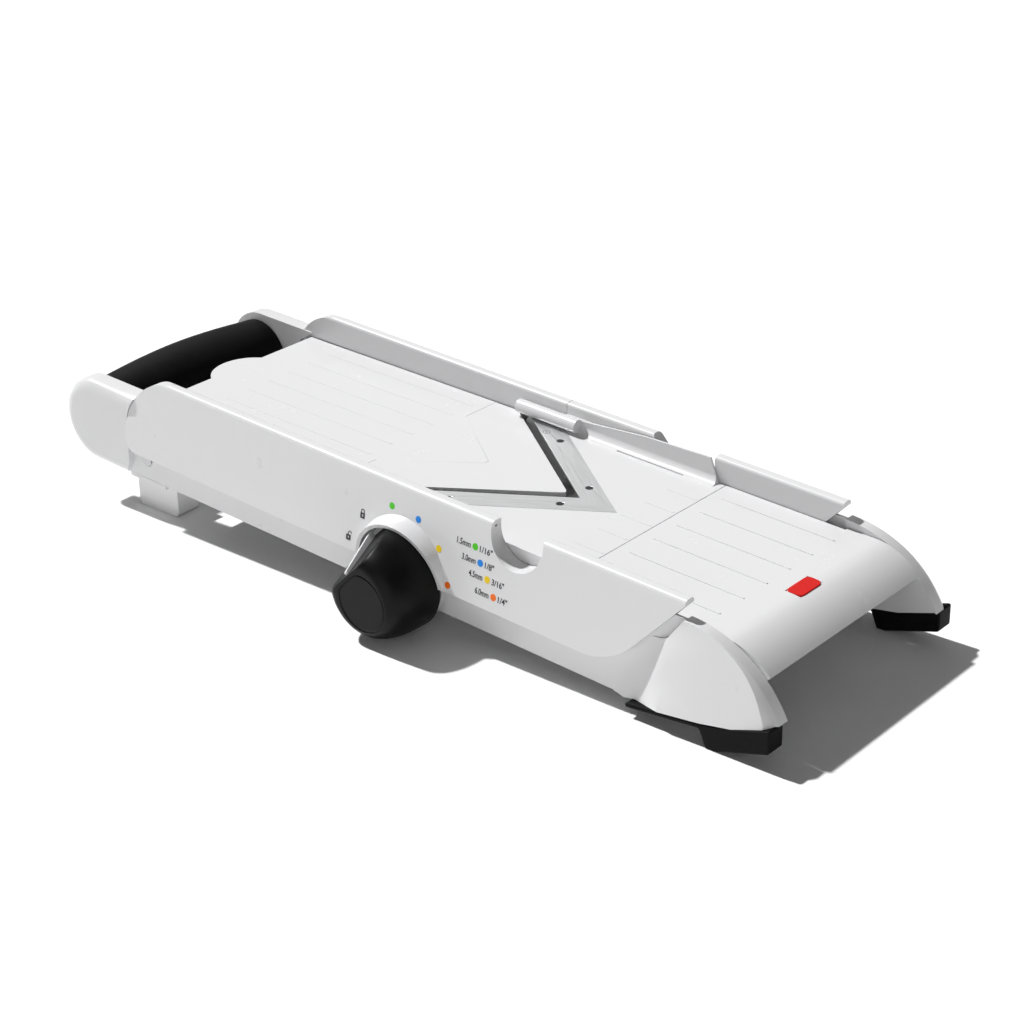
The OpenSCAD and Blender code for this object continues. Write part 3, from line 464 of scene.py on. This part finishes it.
dialShape = {
    "radius": 22.4, "length": 25.5, "crownRadius": 13.6, "sides": 256, "faceStep": 0.26, "facetTurn": 136.2,
    "facetBase": 20.0, "facetFace": 10.0, "edgeBlend": 1.6, "sideRings": 48, "bulge": 3.2,
    "footInset": 6, "footRings": ((1.1, 0), (0.35, 0.12), (0, 0.6)), "lowestRing": 0.7,
    "inlayRadius": 12.7, "inlayX": 1.9, "inlayZ": -1.8, "inlayChord": 8.4, "inlayBlend": 1.5,
    "inlayFrom": 0.8, "grooveHalf": 0.42, "grooveDepth": 0.55, "inlaySink": 0.12,
}


def softMin(a, b, blend):
    # the smaller of two distances, rounded where they are close
    overlap = max(blend - abs(a - b), 0) / blend
    return min(a, b) - overlap * overlap * blend / 4


def inlayDistance(x, z):
    # distance inside the inlay's outline, which is a circle cut by a chord; negative outside
    turn = math.radians(dialShape["facetTurn"])
    inCircle = dialShape["inlayRadius"] - math.hypot(x - dialShape["inlayX"], z - dialShape["inlayZ"])
    inChord = dialShape["inlayChord"] - (x * math.cos(turn) + z * math.sin(turn))
    return softMin(inCircle, inChord, dialShape["inlayBlend"])


def dialProfile():
    # rings from the base to the middle of the outer face, as radius and height
    radius, length, crown = dialShape["radius"], dialShape["length"], dialShape["crownRadius"]
    rings = [(radius - dialShape["footInset"], 0)]
    rings += [(radius - inset, height) for inset, height in dialShape["footRings"]]
    for i in range(1, dialShape["sideRings"] + 1):
        share = math.sin(math.radians(90 * i / dialShape["sideRings"]))
        outward = math.sqrt(max(0, 1 - share ** dialShape["bulge"]))
        rings.append((crown + (radius - crown) * outward, max(dialShape["lowestRing"], length * share)))
    steps = int(crown / dialShape["faceStep"])
    rings += [(crown * (1 - i / steps), length) for i in range(1, steps)]
    return rings


def addDial():
    bm = bmesh.new()
    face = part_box("dial_body")[0].y
    baseY = (face - dialPos.y) * 1000 + dialShape["length"]
    turn = math.radians(dialShape["facetTurn"])
    loops = []
    for ring, height in dialProfile():
        narrowing = (dialShape["facetFace"] - dialShape["facetBase"]) * height / dialShape["length"]
        flat = dialShape["facetBase"] + narrowing
        loop = []
        for i in range(dialShape["sides"]):
            phi = math.tau * i / dialShape["sides"]
            across = math.cos(phi - turn)
            r = softMin(ring, flat / across, dialShape["edgeBlend"]) if across > 0.2 else ring
            x, z = r * math.cos(phi), r * math.sin(phi)
            depth = 0.0
            if height > dialShape["length"] * dialShape["inlayFrom"]:
                inside = inlayDistance(x, z)
                edge = max(0, 1 - abs(inside) / dialShape["grooveHalf"])
                depth = dialShape["grooveDepth"] * edge * edge * (3 - 2 * edge)
                depth += dialShape["inlaySink"] if inside > 0 else 0
            loop.append(bm.verts.new((dialPoint[0] + x, baseY - height + depth, dialPoint[1] + z)))
        loops.append(loop)
    bridgeRings(bm, loops)
    for loop, height in ((loops[0], 0), (loops[-1], dialShape["length"] - dialShape["inlaySink"])):
        tip = bm.verts.new((dialPoint[0], baseY - height, dialPoint[1]))
        for i in range(dialShape["sides"]):
            bm.faces.new((loop[i], loop[(i + 1) % dialShape["sides"]], tip))
    mesh = finishMesh(bm, bpy.data.meshes.new("dialShell"), smooth=True)
    shell = placePiece(mesh, "dialShell", finishes["dial_plastic"], "dial")
    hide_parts("dial_body", "dial_face")


pivotRing = {
    "x": -19.9, "z": -30.3, "radius": 3.6, "wire": 0.42, "flatten": 0.8, "wallY": 55.5, "stands": 0.05,
    "opening": 50, "steps": 44, "around": 10,
}


def addPivotRings():
    # raised open ring moulded round the end of each runway pivot
    for side, label in ((-1, "near"), (1, "far")):
        bm = bmesh.new()
        loops = []
        steps, around = pivotRing["steps"], pivotRing["around"]
        start = math.radians(pivotRing["opening"])
        for i in range(steps + 1):
            turn = start + (math.tau - start) * i / steps
            loop = []
            for k in range(around):
                lean = math.tau * k / around
                r = pivotRing["radius"] + pivotRing["wire"] * math.cos(lean)
                rise = pivotRing["wire"] * pivotRing["flatten"] * math.sin(lean)
                y = side * (pivotRing["wallY"] + pivotRing["stands"] + rise)
                x, z = pivotRing["x"] + r * math.cos(turn), pivotRing["z"] + r * math.sin(turn)
                loop.append(bm.verts.new((x, y, z)))
            loops.append(loop)
        bridgeRings(bm, loops)
        bm.faces.new(loops[0])
        bm.faces.new(loops[-1])
        mesh = finishMesh(bm, bpy.data.meshes.new("pivotRing"), smooth=True)
        placePiece(mesh, f"pivotRing_{label}", finishes["white_plastic"], "frame")


# fine raised lines along the decks, made with Geometry Nodes
deckLines = {
    "runway": {"count": 7, "spacing": 13.0, "start": 4, "length": 92, "body": "runway", "node": "runway_plate"},
    "carrier": {"count": 5, "spacing": 15.2, "start": 214, "length": 15, "body": "carrier", "node": "blade_carrier"},
    "width": 0.9, "height": 0.5, "stands": 0.08, "probeY": 4, "probeInset": 1, "probeFrom": 60,
}


def surfaceHeight(node, x, y):
    # height of a frame piece's top under a deck position
    toDeck = deckMatrix.inverted()
    shape = bmesh.new()
    shape.from_mesh(frame["nodes"][node].data)
    shape.transform(toDeck @ frame["nodes"][node].matrix_world)
    tree = BVHTree.FromBMesh(shape)
    hit = tree.ray_cast(Vector((x, y, deckLines["probeFrom"])), Vector((0, 0, -1)))[0]
    shape.free()
    return hit.z if hit else None


def lineTree():
    tree = bpy.data.node_groups.new("raisedLines", "GeometryNodeTree")
    tree.interface.new_socket("Geometry", in_out="INPUT", socket_type="NodeSocketGeometry")
    for name, kind in (("Count", "NodeSocketInt"), ("Spacing", "NodeSocketFloat"), ("Length", "NodeSocketFloat"),
                       ("Width", "NodeSocketFloat"), ("Height", "NodeSocketFloat"), ("Finish", "NodeSocketMaterial")):
        tree.interface.new_socket(name, in_out="INPUT", socket_type=kind)
    tree.interface.new_socket("Geometry", in_out="OUTPUT", socket_type="NodeSocketGeometry")
    inputs = tree.nodes.new("NodeGroupInput")
    outputs = tree.nodes.new("NodeGroupOutput")
    row = tree.nodes.new("GeometryNodeMeshLine")
    row.mode = "OFFSET"
    step = tree.nodes.new("ShaderNodeCombineXYZ")
    size = tree.nodes.new("ShaderNodeCombineXYZ")
    bar = tree.nodes.new("GeometryNodeMeshCube")
    place = tree.nodes.new("GeometryNodeInstanceOnPoints")
    whole = tree.nodes.new("GeometryNodeRealizeInstances")
    finish = tree.nodes.new("GeometryNodeSetMaterial")
    tree.links.new(inputs.outputs["Spacing"], step.inputs["Y"])
    tree.links.new(inputs.outputs["Count"], row.inputs["Count"])
    tree.links.new(step.outputs["Vector"], row.inputs["Offset"])
    tree.links.new(inputs.outputs["Length"], size.inputs["X"])
    tree.links.new(inputs.outputs["Width"], size.inputs["Y"])
    tree.links.new(inputs.outputs["Height"], size.inputs["Z"])
    tree.links.new(size.outputs["Vector"], bar.inputs["Size"])
    tree.links.new(row.outputs["Mesh"], place.inputs["Points"])
    tree.links.new(bar.outputs["Mesh"], place.inputs["Instance"])
    tree.links.new(place.outputs["Instances"], whole.inputs["Geometry"])
    tree.links.new(whole.outputs["Geometry"], finish.inputs["Geometry"])
    tree.links.new(inputs.outputs["Finish"], finish.inputs["Material"])
    tree.links.new(finish.outputs["Geometry"], outputs.inputs["Geometry"])
    return tree


def addDeckLines():
    tree = lineTree()
    sockets = {item.name: item.identifier for item in tree.interface.items_tree if item.in_out == "INPUT"}
    for name in ("runway", "carrier"):
        look = deckLines[name]
        holder = bpy.data.objects.new(name, bpy.data.meshes.new(name))
        modifier = holder.modifiers.new("raisedLines", "NODES")
        modifier.node_group = tree
        modifier[sockets["Count"]] = look["count"]
        modifier[sockets["Spacing"]] = look["spacing"]
        modifier[sockets["Length"]] = float(look["length"])
        modifier[sockets["Width"]] = deckLines["width"]
        modifier[sockets["Height"]] = deckLines["height"]
        modifier[sockets["Finish"]] = finishes["deck_plastic"]
        mesh = evaluatedMesh(holder)
        inset = deckLines["probeInset"]
        first = surfaceHeight(look["node"], look["start"] + inset, deckLines["probeY"])
        last = surfaceHeight(look["node"], look["start"] + look["length"] - inset, deckLines["probeY"])
        lean = Matrix.Rotation(-math.atan2(last - first, look["length"] - 2 * inset), 4, "Y")
        low = deckLines["stands"] - deckLines["height"] / 2
        middle = look["start"] + look["length"] / 2
        side = -look["spacing"] * (look["count"] - 1) / 2
        place = Matrix.Translation((middle, side, (first + last) / 2 + low)) @ lean
        print("lines on", name, round(first, 2), round(last, 2))
        placePiece(mesh, f"deckLines_{name}", finishes["deck_plastic"], look["body"],
                   deckMatrix @ place)


# plain rounded badge let into the lip
badgeShape = {
    "x": 303.9, "low": -0.5, "length": 7.4, "width": 15.0, "thickness": 0.75, "corner": 2.6,
    "cornerSteps": 8, "edgeDrop": 0.2, "edgeInset": 0.15, "lean": 2.0,
}


def addBadge():
    bm = bmesh.new()
    corner = badgeShape["corner"]
    halfX, halfY = badgeShape["length"] / 2 - corner, badgeShape["width"] / 2 - corner
    rim = []
    for start, (cx, cy) in enumerate(((halfX, halfY), (-halfX, halfY), (-halfX, -halfY), (halfX, -halfY))):
        for step in range(badgeShape["cornerSteps"] + 1):
            turn = math.radians(90 * start + 90 * step / badgeShape["cornerSteps"])
            rim.append((cx + corner * math.cos(turn), cy + corner * math.sin(turn)))
    loops = []
    top = badgeShape["thickness"]
    for inset, height in ((0, 0), (0, top - badgeShape["edgeDrop"]), (badgeShape["edgeInset"], top)):
        shareX = 1 - inset / (badgeShape["length"] / 2)
        shareY = 1 - inset / (badgeShape["width"] / 2)
        loops.append([bm.verts.new((x * shareX, y * shareY, height)) for x, y in rim])
    bridgeRings(bm, loops)
    bm.faces.new(loops[0])
    bm.faces.new(loops[-1])
    mesh = finishMesh(bm, bpy.data.meshes.new("badgePlate"))
    lean = Matrix.Rotation(math.radians(badgeShape["lean"]), 4, "Y")
    place = Matrix.Translation((badgeShape["x"], 0, badgeShape["low"])) @ lean
    badge = placePiece(mesh, "badgePlate", finishes["badge_red"], "frame", deckMatrix @ place)
    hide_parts("deck_badge")


bladeSign = {"spot": (140.6, 38.6, 0.17), "ring": (1.45, 1.75), "dot": 0.5, "height": 0.06, "steps": 32}


def circlePoints(bm, radius, steps):
    turns = [math.tau * i / steps for i in range(steps)]
    return [bm.verts.new((radius * math.cos(turn), radius * math.sin(turn), 0)) for turn in turns]


def addBladeMark():
    # small etched ring with a dot on the far arm of the blade
    bm = bmesh.new()
    inner, outer = bladeSign["ring"]
    far = circlePoints(bm, outer, bladeSign["steps"])
    bridgeRings(bm, (far, circlePoints(bm, inner, bladeSign["steps"])))
    bm.faces.new(circlePoints(bm, bladeSign["dot"], bladeSign["steps"]))
    thicken(bm, bladeSign["height"])
    mesh = finishMesh(bm, bpy.data.meshes.new("bladeMark"))
    spot = Matrix.Translation(bladeSign["spot"])
    placePiece(mesh, "bladeMark", inks["etch"], "carrier", deckMatrix @ spot)


addDial()
addPivotRings()
addDeckLines()
addBadge()
addBladeMark()
addDots()
addLegend()
addPadlocks()
print("dial, lines and marks made")

# studio
studio = {
    "floorSize": 6.0, "floorTone": (0.93, 0.93, 0.93), "sunWay": (1.0, 0.08, -1.12),
    "sunPower": 4.15, "sunAngle": math.radians(2.6), "fillPower": 0.115,
    "sideWay": (-0.45, 1.0, -0.16), "sidePower": 0.62, "sideAngle": math.radians(50),
    "boxSpot": (-0.62, 0.70, 0.60), "boxSize": (1.3, 0.7), "boxPower": 1.5,
    "lens": 77.44, "sensor": 36, "clip": (0.01, 20), "cameraSpot": (706.47, -624.20, 418.64),
    "azimuth": 41.493, "elevation": 27.729, "roll": -0.2046,
}


def addFloor():
    bm = bmesh.new()
    bmesh.ops.create_grid(bm, x_segments=2, y_segments=2, size=studio["floorSize"] / 2)
    mesh = bpy.data.meshes.new("floor")
    bm.to_mesh(mesh)
    bm.free()
    floor = bpy.data.objects.new("floor", mesh)
    bpy.context.scene.collection.objects.link(floor)
    material, tree, shader, coords = newFinish("paleFloor")
    paper = noiseNode(tree, coords, "Object", 3, 2)
    tone = rampNode(tree, paper, "Fac", studio["floorTone"], [c * 1.01 for c in studio["floorTone"]])
    nodeLink(tree, tone, "Color", shader, "Base Color")
    shader.inputs["Roughness"].default_value = 0.9
    shader.inputs["Specular IOR Level"].default_value = 0.1
    mesh.materials.append(material)


def aimedLight(name, data, way):
    light = bpy.data.objects.new(name, data)
    light.rotation_mode = "QUATERNION"
    light.rotation_quaternion = way.to_track_quat("-Z", "Y")
    bpy.context.scene.collection.objects.link(light)
    return light


def addSun(name, way, power, angle):
    sun = bpy.data.lights.new(name, "SUN")
    sun.energy = power
    sun.angle = angle
    aimedLight(name, sun, deckTurn @ Vector(way))


def addLights():
    addSun("keyLight", studio["sunWay"], studio["sunPower"], studio["sunAngle"])
    addSun("sideLight", studio["sideWay"], studio["sidePower"], studio["sideAngle"])
    panel = bpy.data.lights.new("softBox", "AREA")
    panel.shape = "RECTANGLE"
    panel.size, panel.size_y = studio["boxSize"]
    panel.energy = studio["boxPower"]
    box = aimedLight("softBox", panel, -Vector(studio["boxSpot"]))
    box.location = studio["boxSpot"]
    world = bpy.data.worlds.new("studio")
    world.use_nodes = True
    world.node_tree.nodes["Background"].inputs["Color"].default_value = (1, 1, 1, 1)
    world.node_tree.nodes["Background"].inputs["Strength"].default_value = studio["fillPower"]
    bpy.context.scene.world = world
    bpy.context.scene.view_settings.view_transform = "Standard"


def addCamera():
    data = bpy.data.cameras.new("camera")
    data.lens = studio["lens"]
    data.sensor_width = studio["sensor"]
    data.clip_start, data.clip_end = studio["clip"]
    camera = bpy.data.objects.new("camera", data)
    a, e, r = (math.radians(studio[key]) for key in ("azimuth", "elevation", "roll"))
    back = Vector((math.sin(a) * math.cos(e), -math.cos(a) * math.cos(e), math.sin(e)))
    right = Vector((math.cos(a), math.sin(a), 0))
    up = Vector((-math.sin(a) * math.sin(e), math.cos(a) * math.sin(e), math.cos(e)))
    rolledRight = math.cos(r) * right + math.sin(r) * up
    rolledUp = -math.sin(r) * right + math.cos(r) * up
    turn = Matrix((rolledRight, rolledUp, back)).transposed().to_4x4()
    camera.matrix_world = Matrix.Translation(deckMatrix @ Vector(studio["cameraSpot"])) @ deckTurn @ turn
    bpy.context.scene.collection.objects.link(camera)
    bpy.context.scene.camera = camera


addFloor()
addLights()
addCamera()
print("studio ready")
